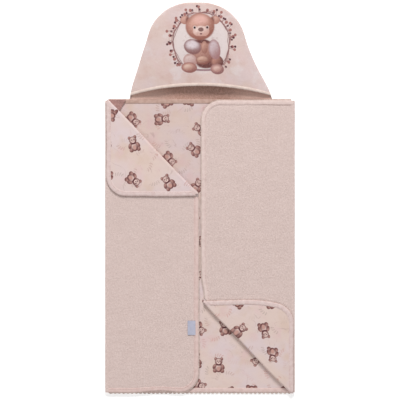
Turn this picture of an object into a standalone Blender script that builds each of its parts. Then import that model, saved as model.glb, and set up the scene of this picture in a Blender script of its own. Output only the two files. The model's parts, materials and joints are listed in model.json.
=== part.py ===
"""Hooded baby towel, folded flat.

The body is a terry ply backed by printed cotton, with bound and scalloped edges. Its two side
flaps fold in over the back panel, and one corner of each flap is folded back again. The hood is
two plies joined along a bell outline, and its front ply stands off the back ply at the mouth.
The flaps and corners are drawn flat, as on the cutting table, and turned over by their parents.
"""
import math

import bmesh
import bpy
from mathutils import Matrix, Vector

# Driving dimensions of the folded towel, in metres
BODY_WIDTH = 0.450
BODY_LENGTH = 0.700
HOOD_HEIGHT = 0.230
HOOD_BASE_HALF_WIDTH = 0.171
HOOD_SIDE_SLOPE = 0.38
HOOD_CROWN_POWER = 12
CROWN_REACH = 0.997
MOUTH_END_LIFT = 0.0095
MOUTH_SAG = 0.022
MOUTH_HEIGHT = 0.012
MOUTH_TAPE_WIDTH = 0.006
HOOD_COLUMNS = 30
HOOD_ROWS = 14
CORNER_RADIUS = 0.050
CORNER_START = 0.0045

# Cloth thicknesses and the gaps that keep neighbouring solids apart
TERRY = 0.0022
COTTON = 0.0005
TAPE = 0.0004
LAYER_GAP = 0.00015
PLY_GAP = 0.0003

# Trim
TAPE_WIDTH = 0.009
EDGING_DEPTH = 0.005
EDGING_THICKNESS = 0.0010
SCALLOP_PITCH = 0.010
SCALLOP_DEPTH = 0.0028
SCALLOP_STEPS = 6
LABEL_WIDTH = 0.018
LABEL_LENGTH = 0.034
LABEL_INSET = 0.0195
LABEL_DISTANCE = 0.193

# Sizes that follow from the ones above
TERRY_BASE = TAPE + LAYER_GAP
COTTON_BASE = TERRY_BASE + TERRY + LAYER_GAP
PLY = COTTON_BASE + COTTON + LAYER_GAP + TAPE
FOLD_RADIUS = PLY + PLY_GAP / 2
FOLD_GAP = PLY_GAP / 2
FOLD_X = BODY_WIDTH / 2 - FOLD_RADIUS
HALF_LENGTH = BODY_LENGTH / 2
BODY_Y = -HOOD_HEIGHT / 2
NECK_Y = BODY_Y + HALF_LENGTH
CROWN_Y = NECK_Y + HOOD_HEIGHT
FLAP_WIDTH = FOLD_X - PLY_GAP
TAPE_EDGE = EDGING_DEPTH + LAYER_GAP
CLOTH_EDGE = TAPE_EDGE + TAPE + LAYER_GAP
TAPE_INNER = TAPE_EDGE + TAPE_WIDTH
DIAGONAL = HALF_LENGTH - CORNER_START
CORNER_PIVOT = Vector((FLAP_WIDTH / 2, FLAP_WIDTH / 2 - DIAGONAL, -PLY_GAP / 2))
HOOD_BACK_PLY = COTTON + LAYER_GAP + TERRY
HOOD_FRONT_BASE = HOOD_BACK_PLY + LAYER_GAP

TERRY_COLOUR = (0.63, 0.50, 0.46)
COTTON_COLOUR = (0.72, 0.58, 0.55)
TAPE_COLOUR = (0.66, 0.50, 0.47)
EDGING_COLOUR = (0.68, 0.59, 0.54)
CREAM_COLOUR = (0.78, 0.72, 0.64)
SATIN_COLOUR = (0.85, 0.85, 0.85)
FINISHES = {
    "terry": (TERRY_COLOUR, 0.95),
    "lining": (COTTON_COLOUR, 0.85),
    "outer": (COTTON_COLOUR, 0.85),
    "binding": (TAPE_COLOUR, 0.80),
    "edging": (EDGING_COLOUR, 0.85),
    "mouth_binding": (CREAM_COLOUR, 0.80),
    "label": (SATIN_COLOUR, 0.40),
}


def clear_scene():
    for thing in list(bpy.data.objects):
        bpy.data.objects.remove(thing, do_unlink=True)


def new_collection(name):
    made = bpy.data.collections.new(name)
    bpy.context.scene.collection.children.link(made)
    return made


def pivot(name, location, rotation=Matrix(), parent=None):
    """An empty on a joint axis. The pieces of the moving body hang on it."""
    empty = bpy.data.objects.new(name, None)
    PARTS.objects.link(empty)
    empty.parent = parent
    empty.matrix_local = Matrix.Translation(location) @ rotation
    empty.empty_display_size = 0.03
    return empty


def finish(piece, parent, finish_name):
    """Give a piece its own material and hang it on its body's pivot."""
    colour, roughness = FINISHES[finish_name]
    material = bpy.data.materials.new(piece.name + "_" + finish_name)
    material.use_nodes = True
    shader = material.node_tree.nodes["Principled BSDF"]
    shader.inputs["Base Color"].default_value = (*colour, 1.0)
    shader.inputs["Roughness"].default_value = roughness
    shader.inputs["Metallic"].default_value = 0.0
    piece.data.materials.append(material)
    piece.parent = parent
    return piece


def plate(name, outline, bottom, top, turn=Matrix(), collection=None):
    """A flat outline of straight runs, given its thickness from bottom to top."""
    curve = bpy.data.curves.new(name, "CURVE")
    curve.dimensions = "2D"
    curve.fill_mode = "BOTH"
    curve.extrude = (top - bottom) / 2
    run = curve.splines.new("POLY")
    run.points.add(len(outline) - 1)
    run.use_cyclic_u = True
    for point, (x, y) in zip(run.points, outline):
        point.co = (x, y, 0.0, 1.0)
    piece = bpy.data.objects.new(name, curve)
    (collection or PARTS).objects.link(piece)
    piece.matrix_local = turn @ Matrix.Translation((0, 0, (bottom + top) / 2))
    return piece


def as_mesh(curve_piece):
    """Swap a curve object for a closed mesh, so that it can be cut or can cut."""
    bpy.context.view_layer.update()
    depsgraph = bpy.context.evaluated_depsgraph_get()
    mesh = bpy.data.meshes.new_from_object(curve_piece.evaluated_get(depsgraph))
    body = bmesh.new()
    body.from_mesh(mesh)
    bmesh.ops.remove_doubles(body, verts=body.verts, dist=1e-6)
    body.to_mesh(mesh)
    body.free()
    name, place = curve_piece.name, curve_piece.matrix_world.copy()
    collection = curve_piece.users_collection[0]
    bpy.data.objects.remove(curve_piece, do_unlink=True)
    piece = bpy.data.objects.new(name, mesh)
    collection.objects.link(piece)
    piece.matrix_local = place
    return piece


def channel(name, outline, slot, turn=Matrix()):
    """A folded tape: an outline a whole ply high with a slot cut along it for the cloth."""
    piece = as_mesh(plate(name, outline, 0.0, PLY, turn))
    cutter = as_mesh(plate(name + "_slot", slot, TAPE, PLY - TAPE, turn, CUTTERS))
    cutter.hide_render = True
    cutter.display_type = "WIRE"
    cut = piece.modifiers.new("slot", "BOOLEAN")
    cut.operation = "DIFFERENCE"
    cut.solver = "EXACT"
    cut.object = cutter
    return piece, cutter


def shell(name, columns, rows, place, thickness):
    """A grid whose points go where place(across, along) puts them, made solid downwards."""
    bpy.ops.mesh.primitive_grid_add(x_subdivisions=columns, y_subdivisions=rows, size=2)
    piece = bpy.context.object
    piece.name = name
    for vertex in piece.data.vertices:
        vertex.co = place(vertex.co.x, (vertex.co.y + 1) / 2)
    for owner in list(piece.users_collection):
        owner.objects.unlink(piece)
    PARTS.objects.link(piece)
    solid = piece.modifiers.new("thickness", "SOLIDIFY")
    solid.thickness = thickness
    solid.offset = -1
    return piece


def scallops(point_at, length):
    """The scalloped side of an edging, then its straight side. point_at gives place and inward."""
    count = max(1, round(length / SCALLOP_PITCH))
    steps = count * SCALLOP_STEPS
    outer, inner = [], []
    for step in range(steps + 1):
        place, inward = point_at(length * step / steps)
        swell = math.sin(math.pi * (step % SCALLOP_STEPS) / SCALLOP_STEPS)
        outer.append(place + inward * SCALLOP_DEPTH * (1 - swell))
        if step % (SCALLOP_STEPS // 2) == 0:
            inner.append(place + inward * EDGING_DEPTH)
    return [tuple(p) for p in outer + inner[::-1]]


def wing_ends(inset, side, gap):
    """Where a line at this inset from the free edges meets the side fold and the diagonal.

    side is 1 for the flap and -1 for the corner that folds back from it.
    """
    slant = gap * math.sqrt(2)
    if side > 0:
        fold_u = gap
    else:
        fold_u = max(gap, inset - CORNER_START + slant)
    free_u = FLAP_WIDTH - inset
    return fold_u, free_u - DIAGONAL + side * slant


def wing_edge(inset, side, gap=FOLD_GAP, arc_steps=10):
    """The free edge of a flap or corner, moved in by inset: along its end, round, and inwards."""
    fold_u, diagonal_v = wing_ends(inset, side, gap)
    radius = CORNER_RADIUS - inset
    centre_u = FLAP_WIDTH - CORNER_RADIUS
    centre_v = side * (HALF_LENGTH - CORNER_RADIUS)
    points = [(fold_u, side * (HALF_LENGTH - inset))]
    for step in range(arc_steps + 1):
        angle = math.pi / 2 * step / arc_steps
        points.append(
            (centre_u + radius * math.sin(angle), centre_v + side * radius * math.cos(angle))
        )
    points.append((FLAP_WIDTH - inset, diagonal_v))
    return points


def wing_outline(inset, side):
    """The whole cloth of a flap or of its corner, inside its free edges and its folds."""
    points = wing_edge(inset, side)
    if side > 0:
        points.append((FOLD_GAP, FOLD_GAP * (1 + math.sqrt(2)) - DIAGONAL))
    return points


def wing_band(outer, inner, side, gap=FOLD_GAP):
    return wing_edge(outer, side, gap) + wing_edge(inner, side, gap)[::-1]


def wing_edging(side):
    """The scalloped strip outside a flap's or corner's tape, cut square at both ends."""
    ends = [wing_ends(inset, side, FOLD_GAP) for inset in (0, EDGING_DEPTH)]
    start_u = max(fold_u for fold_u, _ in ends)
    end_v = max((diagonal_v for _, diagonal_v in ends), key=lambda v: side * v)
    end_run = FLAP_WIDTH - CORNER_RADIUS - start_u
    round_run = CORNER_RADIUS * math.pi / 2
    inward_run = HALF_LENGTH - CORNER_RADIUS - side * end_v

    def point_at(distance):
        if distance < end_run:
            return Vector((start_u + distance, side * HALF_LENGTH)), Vector((0, -side))
        if distance < end_run + round_run:
            angle = (distance - end_run) / CORNER_RADIUS
            outward = Vector((math.sin(angle), side * math.cos(angle)))
            centre = Vector((FLAP_WIDTH - CORNER_RADIUS, side * (HALF_LENGTH - CORNER_RADIUS)))
            return centre + outward * CORNER_RADIUS, -outward
        past = distance - end_run - round_run
        return Vector((FLAP_WIDTH, side * (HALF_LENGTH - CORNER_RADIUS - past))), Vector((-1, 0))

    return scallops(point_at, end_run + round_run + inward_run)


def make_wing_pieces(body, side, parent, origin):
    """Terry, lining, binding and edging of one flap or corner, drawn flat around origin."""
    turn = Matrix.Translation(-origin)
    cloth = wing_outline(CLOTH_EDGE, side)
    finish(plate(body + "_terry", cloth, TERRY_BASE, TERRY_BASE + TERRY, turn), parent, "terry")
    lining = plate(body + "_lining", cloth, COTTON_BASE, COTTON_BASE + COTTON, turn)
    finish(lining, parent, "lining")
    band = wing_band(TAPE_EDGE, TAPE_INNER, side)
    slot = wing_band(TAPE_EDGE + TAPE, TAPE_INNER + 2 * TAPE, side, -2 * TAPE)
    tape, cutter = channel(body + "_binding", band, slot, turn)
    finish(tape, parent, "binding")
    cutter.parent = parent
    middle = PLY / 2
    edging = plate(
        body + "_edging",
        wing_edging(side),
        middle - EDGING_THICKNESS / 2,
        middle + EDGING_THICKNESS / 2,
        turn,
    )
    finish(edging, parent, "edging")


def half_ring(outer, inner, steps=8):
    """Half of a ring on the +X side of the origin, kept clear of the fold line."""
    points = []
    for radius, order in ((outer, 1), (inner, -1)):
        for step in range(steps + 1):
            angle = order * (math.pi * step / steps - math.pi / 2)
            points.append((FOLD_GAP + radius * math.cos(angle), radius * math.sin(angle)))
    return points


def make_fold(name, parent, start, end, outward, terry_outside):
    """The cloth that rolls over a fold line, from one ply up to the next: terry and lining."""
    along = (end - start).normalized()
    up = outward.cross(along)
    turn = Matrix((outward, up, along)).transposed().to_4x4()
    turn.translation = start
    layers = [("terry", TERRY), ("lining", COTTON)]
    if not terry_outside:
        layers.reverse()
    outer = FOLD_RADIUS - FOLD_GAP
    for cloth, thickness in layers:
        ring = half_ring(outer, outer - thickness)
        roll = plate(name + "_" + cloth, ring, 0.0, (end - start).length, turn)
        finish(roll, parent, cloth)
        outer -= thickness + LAYER_GAP


def make_wing(name, location, rotation):
    """One flap with its folded-back corner and the rolls of cloth along both folds."""
    flap = pivot(name + "_flap_fold", location, rotation)
    over = Matrix.Rotation(math.pi, 4, Vector((1, 1, 0)))
    lifted = CORNER_PIVOT - Vector((0, 0, FOLD_RADIUS))
    corner = pivot(name + "_corner_fold", lifted, over, flap)
    make_wing_pieces(name + "_flap", 1, flap, Vector((0, 0, FOLD_RADIUS)))
    make_wing_pieces(name + "_corner", -1, corner, CORNER_PIVOT)
    diagonal = Vector((1, 1, 0)).normalized()
    outward = Vector((1, -1, 0)).normalized()
    near = Vector((PLY_GAP, PLY_GAP - DIAGONAL, lifted.z))
    reach = FLAP_WIDTH - PLY_GAP - (FOLD_RADIUS + FOLD_GAP) / math.sqrt(2)
    far = near + diagonal * (reach - near.x) * math.sqrt(2)
    make_fold(name + "_corner_roll", flap, near, far, outward, terry_outside=False)
    return flap


def make_side_roll(name, x, outward):
    start = Vector((x, BODY_Y - HALF_LENGTH + CLOTH_EDGE, FOLD_RADIUS))
    end = Vector((x, NECK_Y - CLOTH_EDGE, FOLD_RADIUS))
    make_fold(name, None, start, end, outward, terry_outside=True)


def make_label(flap):
    """A blank sewn-in label beside the binding, on the terry side."""
    bpy.ops.mesh.primitive_cube_add(size=1)
    label = bpy.context.object
    label.name = "side_label"
    size = Matrix.Diagonal((LABEL_WIDTH, LABEL_LENGTH, TAPE, 1))
    label.data.transform(size)
    for owner in list(label.users_collection):
        owner.objects.unlink(label)
    PARTS.objects.link(label)
    below = -FOLD_RADIUS - LAYER_GAP - TAPE / 2
    label.location = (FLAP_WIDTH - LABEL_INSET, LABEL_DISTANCE, below)
    finish(label, flap, "label")


def back_rectangle(bottom, top):
    half = FOLD_X - FOLD_GAP
    return [(-half, bottom), (half, bottom), (half, top), (-half, top)]


def make_back_panel():
    cloth = back_rectangle(BODY_Y - HALF_LENGTH + CLOTH_EDGE, NECK_Y - TAPE - LAYER_GAP)
    finish(plate("back_terry", cloth, TERRY_BASE, TERRY_BASE + TERRY), None, "terry")
    finish(plate("back_lining", cloth, COTTON_BASE, COTTON_BASE + COTTON), None, "lining")
    edge = BODY_Y - HALF_LENGTH + TAPE_EDGE
    band = back_rectangle(edge, edge + TAPE_WIDTH)
    slot = [(x * 1.1, y) for x, y in back_rectangle(edge + TAPE, edge + TAPE_WIDTH + TAPE)]
    finish(channel("back_bottom_binding", band, slot)[0], None, "binding")
    band = back_rectangle(NECK_Y - TAPE_WIDTH, NECK_Y)
    slot = [(x * 1.1, y) for x, y in back_rectangle(NECK_Y - TAPE_WIDTH - TAPE, NECK_Y - TAPE)]
    finish(channel("back_top_binding", band, slot)[0], None, "binding")
    half = FOLD_X - FOLD_GAP

    def point_at(distance):
        return Vector((distance - half, BODY_Y - HALF_LENGTH)), Vector((0, 1))

    middle = PLY / 2
    edging = plate(
        "back_bottom_edging",
        scallops(point_at, 2 * half),
        middle - EDGING_THICKNESS / 2,
        middle + EDGING_THICKNESS / 2,
    )
    finish(edging, None, "edging")


def hood_half_width(height):
    """Half the width of the hood's bell outline at a height above the neck."""
    rounding = math.sqrt(1 - (CROWN_REACH * height / HOOD_HEIGHT) ** HOOD_CROWN_POWER)
    return (HOOD_BASE_HALF_WIDTH - HOOD_SIDE_SLOPE * height) * rounding


def bell_outline(start, rows=24):
    """The bell from just above the neck round the crown, in the hood's own frame."""
    side = []
    for row in range(rows + 1):
        height = start + (HOOD_HEIGHT - start) * (1 - (1 - row / rows) ** 2)
        side.append((hood_half_width(height), height))
    return side + [(-x, y) for x, y in reversed(side)]


def mouth_height(across):
    return MOUTH_END_LIFT + MOUTH_SAG * (1 - across * across)


def hood_front_point(across, height, lift):
    """A point of the front ply: across is -1 to 1 between the sides, lift is above its rim."""
    mouth = mouth_height(across)
    rise = max(0.0, (height - mouth) / (HOOD_HEIGHT - mouth))
    swell = (1 - abs(across) ** 3) ** 0.8 * (1 - rise**3)
    x = across * hood_half_width(height)
    return Vector((x, height, HOOD_FRONT_BASE + lift + MOUTH_HEIGHT * swell))


def make_hood():
    """Back ply on the neck's fold line, front ply on a pivot at the crown."""
    back = pivot("hood_fold", (0, NECK_Y, FOLD_RADIUS))
    down = Matrix.Translation((0, 0, -FOLD_RADIUS))
    bell = bell_outline(FOLD_GAP)
    finish(plate("hood_back_outer", bell, 0.0, COTTON, down), back, "outer")
    terry = plate("hood_back_terry", bell, COTTON + LAYER_GAP, HOOD_BACK_PLY, down)
    finish(terry, back, "terry")

    crown = Vector((0, HOOD_HEIGHT, HOOD_BACK_PLY + LAYER_GAP / 2))
    front = pivot("hood_mouth", crown + Vector((0, 0, -FOLD_RADIUS)), parent=back)
    edge = TAPE + 3 * LAYER_GAP

    def ply(lift):
        def place(across, along):
            start = mouth_height(across) + edge
            eased = 1 - (1 - along) ** 1.6
            height = start + (HOOD_HEIGHT - start) * eased
            return hood_front_point(across, height, lift) - crown

        return place

    outer_lift = TERRY + LAYER_GAP + COTTON
    finish(shell("hood_front_outer", HOOD_COLUMNS, HOOD_ROWS, ply(outer_lift), COTTON), front, "outer")
    finish(shell("hood_front_terry", HOOD_COLUMNS, HOOD_ROWS, ply(TERRY), TERRY), front, "terry")

    low = -2 * LAYER_GAP - TAPE
    high = outer_lift + LAYER_GAP + TAPE
    profile = [(MOUTH_TAPE_WIDTH, low), (0.0, low), (0.0, high), (MOUTH_TAPE_WIDTH, high)]

    tape_columns = HOOD_COLUMNS - 2

    def tape(across, along):
        depth, lift = profile[round(3 * along)]
        across *= tape_columns / HOOD_COLUMNS
        height = mouth_height(across) + depth
        return hood_front_point(across, height, lift) - crown

    binding = shell("hood_mouth_binding", tape_columns, 3, tape, TAPE)
    finish(binding, front, "mouth_binding")


clear_scene()
PARTS = new_collection("hooded_baby_towel")
CUTTERS = new_collection("cutters")
make_back_panel()
make_side_roll("left_fold_roll", -FOLD_X, Vector((-1, 0, 0)))
make_side_roll("right_fold_roll", FOLD_X, Vector((1, 0, 0)))
left = make_wing("left", (-FOLD_X, BODY_Y, FOLD_RADIUS), Matrix.Rotation(math.pi, 4, "X"))
make_wing("right", (FOLD_X, BODY_Y, FOLD_RADIUS), Matrix.Rotation(math.pi, 4, "Y"))
make_label(left)
make_hood()
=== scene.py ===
"""Looks of a hooded baby towel that lies folded flat.

Every cloth is drawn flat, as it was cut, and then carried to where the folds of the frame put it.
Its UV map keeps the flat place of each point in metres, so the print, the loops of the terry and
the weave follow the cloth over every fold.
"""
import json
import math

import bmesh
import bpy
import numpy as np
from mathutils import Matrix, Vector


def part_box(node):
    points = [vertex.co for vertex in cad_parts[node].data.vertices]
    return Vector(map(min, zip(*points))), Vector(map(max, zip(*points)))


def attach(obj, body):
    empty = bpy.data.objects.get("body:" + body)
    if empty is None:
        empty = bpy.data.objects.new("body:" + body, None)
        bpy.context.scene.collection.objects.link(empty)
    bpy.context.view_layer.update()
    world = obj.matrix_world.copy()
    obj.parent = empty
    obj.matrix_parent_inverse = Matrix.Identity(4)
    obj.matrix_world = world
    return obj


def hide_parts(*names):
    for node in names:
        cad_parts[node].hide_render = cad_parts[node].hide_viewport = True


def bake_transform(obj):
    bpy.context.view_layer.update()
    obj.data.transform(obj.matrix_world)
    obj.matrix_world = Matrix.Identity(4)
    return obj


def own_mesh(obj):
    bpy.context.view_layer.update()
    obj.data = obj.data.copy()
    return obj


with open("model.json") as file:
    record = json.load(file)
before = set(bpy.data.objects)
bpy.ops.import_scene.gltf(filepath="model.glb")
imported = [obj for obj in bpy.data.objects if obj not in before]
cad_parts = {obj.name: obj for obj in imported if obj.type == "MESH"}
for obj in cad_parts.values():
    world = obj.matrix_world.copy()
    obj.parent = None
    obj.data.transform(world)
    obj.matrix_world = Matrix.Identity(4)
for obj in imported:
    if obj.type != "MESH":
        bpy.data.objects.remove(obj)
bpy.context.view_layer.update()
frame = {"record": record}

# Places that the frame gives
joints = {joint["name"]: joint for joint in frame["record"]["behaviour"]["joints"]}
FOLD_X, BODY_Y, FOLD_Z = joints["right_flap_fold"]["pos_m"]
CORNER_X, CORNER_Y, CORNER_Z = joints["right_corner_fold"]["pos_m"]
NECK_Y = joints["hood_fold"]["pos_m"][1]
CROWN_Y = joints["hood_mouth"]["pos_m"][1]
HALF_LENGTH = NECK_Y - BODY_Y
FLAP_WIDTH = FOLD_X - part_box("right_flap_edging")[0][0]
DIAGONAL = FOLD_X - CORNER_X - (CORNER_Y - BODY_Y)
LAP_RISE = 2 * (CORNER_Z - FOLD_Z)
HOOD_HEIGHT = CROWN_Y - NECK_Y
HOOD_HALF_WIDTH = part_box("hood_front_outer")[1][0]
LABEL_LOW, LABEL_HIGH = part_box("side_label")

# Cloth and trim, in metres
CORNER_RADIUS = 0.05
PLY = 0.004
TERRY = 0.0021
COTTON = 0.0006
TAPE = 0.0005
EDGING = 0.001
TAPE_EDGE = 0.0036
TAPE_INNER = 0.014
CLOTH_EDGE = 0.0055
EDGING_ROOT = 0.0055
STITCH_INSET = 0.0117
STITCH_PITCH = 0.0038
ROLL_MARGIN = 0.004
CELL = 0.004
# Scallops: their pitch, their depth, how far in they stand, and how far they droop
HEM_SCALLOPS = (0.01, 0.003, 0.0, 0.0)
FLAP_SCALLOPS = (0.006, 0.0012, 0.0012, 0.0)
CORNER_SCALLOPS = (0.006, 0.0012, 0.002, -0.0012)
HALF_TURN = math.sqrt(0.5)
PRINT_SHIFT = (0.034, 0.012)
LEFT, RIGHT = -1, 1
FLAP, CORNER = 1, -1


def tone(red, green, blue):
    """A colour given in sRGB, as it is seen, made linear."""
    return tuple(
        part / 12.92 if part <= 0.04045 else ((part + 0.055) / 1.055) ** 2.4
        for part in (red / 255, green / 255, blue / 255)
    )


def unit(value):
    """Numbers held between 0 and 1."""
    return np.clip(value, 0, 1)


# ---------------------------------------------------------------- shader maths


class Wire:
    """A node's output, with the arithmetic that a pattern is written in."""

    def __init__(self, look, socket):
        self.look, self.socket = look, socket

    def __add__(self, other):
        return self.look.math("ADD", self, other)

    __radd__ = __add__

    def __mul__(self, other):
        return self.look.math("MULTIPLY", self, other)

    __rmul__ = __mul__

    def __sub__(self, other):
        return self.look.math("SUBTRACT", self, other)

    def __truediv__(self, other):
        return self.look.math("DIVIDE", self, other)


class Look:
    """A Principled material that is built up node by node."""

    def __init__(self, name, roughness=0.9, sheen=0.0):
        self.material = bpy.data.materials.new(name)
        self.material.use_nodes = True
        self.tree = self.material.node_tree
        self.shader = self.tree.nodes["Principled BSDF"]
        self.shader.inputs["Roughness"].default_value = roughness
        self.shader.inputs["Sheen Weight"].default_value = sheen
        self.shader.inputs["Sheen Roughness"].default_value = 0.5
        self.shader.inputs["Specular IOR Level"].default_value = 0.15

    def node(self, kind, inputs=None, **settings):
        """A new node. Its colours are given in sRGB, from 0 to 255."""
        made = self.tree.nodes.new("ShaderNode" + kind)
        for name, value in settings.items():
            setattr(made, name, value)
        for name, value in (inputs or {}).items():
            socket = made.inputs[name]
            if isinstance(value, Wire):
                self.tree.links.new(value.socket, socket)
            elif socket.type == "RGBA":
                socket.default_value = (*tone(*value), 1.0)
            else:
                socket.default_value = value
        return made

    def out(self, kind, output, inputs=None, **settings):
        return Wire(self, self.node(kind, inputs, **settings).outputs[output])

    def math(self, operation, *values):
        return self.out("Math", 0, dict(enumerate(values)), operation=operation)

    def vector(self, operation, *values):
        return self.out("VectorMath", 0, dict(enumerate(values)), operation=operation)

    def length(self, vector):
        return self.out("VectorMath", "Value", {0: vector}, operation="LENGTH")

    def dot(self, vector, other):
        return self.out("VectorMath", "Value", {0: vector, 1: other}, operation="DOT_PRODUCT")

    def split(self, vector):
        """A vector's first two numbers."""
        parts = self.node("SeparateXYZ", {0: vector})
        return Wire(self, parts.outputs[0]), Wire(self, parts.outputs[1])

    def moved(self, place, across, along):
        return self.vector("ADD", place, (across, along, 0.0))

    def ramp(self, value, low, high, to_low=0.0, to_high=1.0):
        names = ("Value", "From Min", "From Max", "To Min", "To Max")
        inputs = dict(zip(names, (value, low, high, to_low, to_high)))
        return self.out("MapRange", "Result", inputs, interpolation_type="SMOOTHSTEP")

    def mix(self, factor, first, second):
        inputs = {0: factor, 6: first, 7: second}
        return self.out("Mix", 2, inputs, data_type="RGBA")

    def noise(self, place, scale, detail=2.0, roughness=0.5, distortion=0.0):
        names = ("Vector", "Scale", "Detail", "Roughness", "Distortion")
        inputs = dict(zip(names, (place, scale, detail, roughness, distortion)))
        return self.out("TexNoise", "Fac", inputs)

    def line(self, value, middle, width):
        """1 where value is at middle, fading to 0 at width from it."""
        return self.ramp(self.math("ABSOLUTE", value - middle), 0.0, width, 1.0, 0.0)

    def cloth_place(self):
        """The flat place of the cloth, in metres."""
        return self.out("UVMap", "UV", uv_map="cloth")

    def colour(self, wire):
        self.tree.links.new(wire.socket, self.shader.inputs["Base Color"])

    def bump(self, height, distance, strength=1.0):
        inputs = {"Height": height, "Distance": distance, "Strength": strength}
        made = self.out("Bump", "Normal", inputs)
        self.tree.links.new(made.socket, self.shader.inputs["Normal"])


# ---------------------------------------------------------------- printed motifs


class Print:
    """A printed picture, in millimetres: shapes laid one over another on a ground colour."""

    def __init__(self, look, place, colour):
        self.look, self.place, self.colour = look, place, colour

    def lay(self, cover, colour):
        self.colour = self.look.mix(cover, self.colour, colour)

    def local(self, centre, radii, turn=0.0):
        inputs = {
            "Vector": self.place,
            "Location": (centre[0] * 0.001, centre[1] * 0.001, 0.0),
            "Rotation": (0.0, 0.0, turn),
            "Scale": (radii[0] * 0.001, radii[1] * 0.001, 1.0),
        }
        return self.look.out("Mapping", "Vector", inputs, vector_type="TEXTURE")

    def blob(self, centre, radii, light, dark, turn=0.0, soft=0.07, rim=0.75):
        """A rounded shape, lit from above on the left and darker round its rim."""
        look = self.look
        local = self.local(centre, radii, turn)
        away = look.length(local)
        lit = look.ramp(look.dot(local, (-0.35, 0.75, 0.0)), -0.8, 0.7)
        shade = look.ramp(away, 0.55, 1.0, 1.0, 1.0 - rim)
        body = look.mix(lit * shade, dark, light)
        self.lay(look.ramp(away, 1.0 + soft, 1.0 - soft), body)

    def spot(self, centre, radii, colour, turn=0.0, soft=0.12):
        away = self.look.length(self.local(centre, radii, turn))
        self.lay(self.look.ramp(away, 1.0 + soft, 1.0 - soft), colour)


def scattered(look, place, pitch, spread, start):
    """Places spread over the cloth. Gives the place within each, turned at random, and a chance."""
    spot = look.vector("MULTIPLY_ADD", place, (1 / pitch, 1 / pitch, 0.0), (*start, 0.0))
    inputs = {"Vector": spot, "Scale": 1.0, "Randomness": spread}
    cell = look.node("TexVoronoi", inputs, voronoi_dimensions="2D")
    away = look.vector("SUBTRACT", spot, Wire(look, cell.outputs["Position"]))
    away = look.vector("MULTIPLY", away, (pitch, pitch, 0.0))
    chance = Wire(look, cell.outputs["Color"])
    angle = look.out("SeparateColor", "Red", {0: chance}) * (4 * math.pi)
    inputs = {"Vector": away, "Angle": angle}
    local = look.out("VectorRotate", "Vector", inputs, rotation_type="Z_AXIS")
    return local, look.out("SeparateColor", "Green", {0: chance})


def small_teddies(look, place, colour):
    """Little seated teddies, tumbled over the cloth."""
    local, _ = scattered(look, place, 0.07, 0.45, (0.37, 0.12))
    local = look.vector("MULTIPLY", local, (0.92, 0.86, 0.0))
    art = Print(look, local, colour)
    dark, mid, light = (112, 70, 68), (186, 144, 136), (224, 194, 186)
    art.blob((-7.8, -10), (4.6, 4.2), mid, dark)
    art.blob((8, -10.4), (4.6, 4.2), mid, dark)
    art.blob((0, -4), (7.8, 9.2), light, dark)
    art.blob((-9.2, -1.2), (3.4, 5.8), mid, dark, turn=-0.5)
    art.blob((9.2, -1.8), (3.4, 5.8), mid, dark, turn=0.5)
    art.spot((0, -6), (3.6, 4.4), (196, 152, 142))
    art.blob((-6.4, 14.2), (3.4, 3.4), mid, dark)
    art.blob((6.4, 14.2), (3.4, 3.4), mid, dark)
    art.blob((0, 8.6), (8.2, 7.4), light, dark, rim=0.9)
    art.spot((0, 2.1), (6.2, 1.6), (96, 56, 60))
    art.spot((0, 6.2), (3.6, 2.6), (226, 196, 188))
    for across in (-3.1, 3.1):
        art.spot((across, 9.8), (1, 1.1), (70, 40, 44))
    art.spot((0, 7.2), (1.3, 0.9), (80, 46, 50))
    return art.colour


def sprigs(look, place, colour):
    """Faint bent twigs with small leaves."""
    local, chance = scattered(look, place, 0.039, 0.7, (5.2, 8.1))
    centre = look.moved(local, 0.0, 0.019)
    angle = look.math("ARCTAN2", *look.split(centre))
    away = look.length(centre) - 0.019
    span = look.line(angle, 0.0, 0.75)
    slot = look.math("FRACT", angle * 3.6) - 0.5
    lifted = slot - (away - 0.002) * 90
    leaf_place = look.out("CombineXYZ", 0, {0: lifted * 3.4, 1: (away - 0.0024) / 0.003})
    leaf = look.ramp(look.length(leaf_place), 1.0, 0.5)
    under_place = look.out("CombineXYZ", 0, {0: slot * 3.6 + 0.6, 1: (away + 0.002) / 0.0022})
    under = look.ramp(look.length(under_place), 1.0, 0.5)
    stem = look.line(away, 0.0, 0.0006)
    drawn = look.math("MAXIMUM", stem, look.math("MAXIMUM", leaf, under))
    seen = drawn * look.ramp(span, 0.0, 0.25) * look.ramp(chance, 0.15, 0.45, 0.25, 0.75)
    warm = look.noise(place, 9, 1.0)
    twig = look.mix(look.ramp(warm, 0.4, 0.6), (186, 168, 160), (206, 160, 152))
    return look.mix(seen, colour, twig)


def mottled_ground(look, place):
    """Watercolour-like patches of pink, lilac and peach, with faint drawn lines."""
    base = look.noise(place, 13, 3.0)
    colour = look.mix(look.ramp(base, 0.36, 0.62), (219, 200, 200), (221, 199, 190))
    peach = look.ramp(look.noise(look.moved(place, 3.1, 1.7), 17, 3.0), 0.5, 0.72)
    colour = look.mix(peach * 0.85, colour, (215, 190, 176))
    blush = look.ramp(look.noise(look.moved(place, 7.3, 4.9), 24, 4.0), 0.52, 0.7)
    colour = look.mix(blush * 0.7, colour, (220, 190, 188))
    drift = look.noise(place, 20, 1.5, 0.5, 0.8)
    broken = look.ramp(look.noise(place, 55, 1.0), 0.46, 0.6)
    drawn = look.line(drift, 0.5, 0.011) * broken
    return look.mix(drawn * 0.55, colour, (186, 160, 156))


def polar(look, vector):
    """Distance from the middle, and the angle in radians."""
    across, along = look.split(vector)
    return look.length(vector), look.math("ARCTAN2", along, across)


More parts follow.
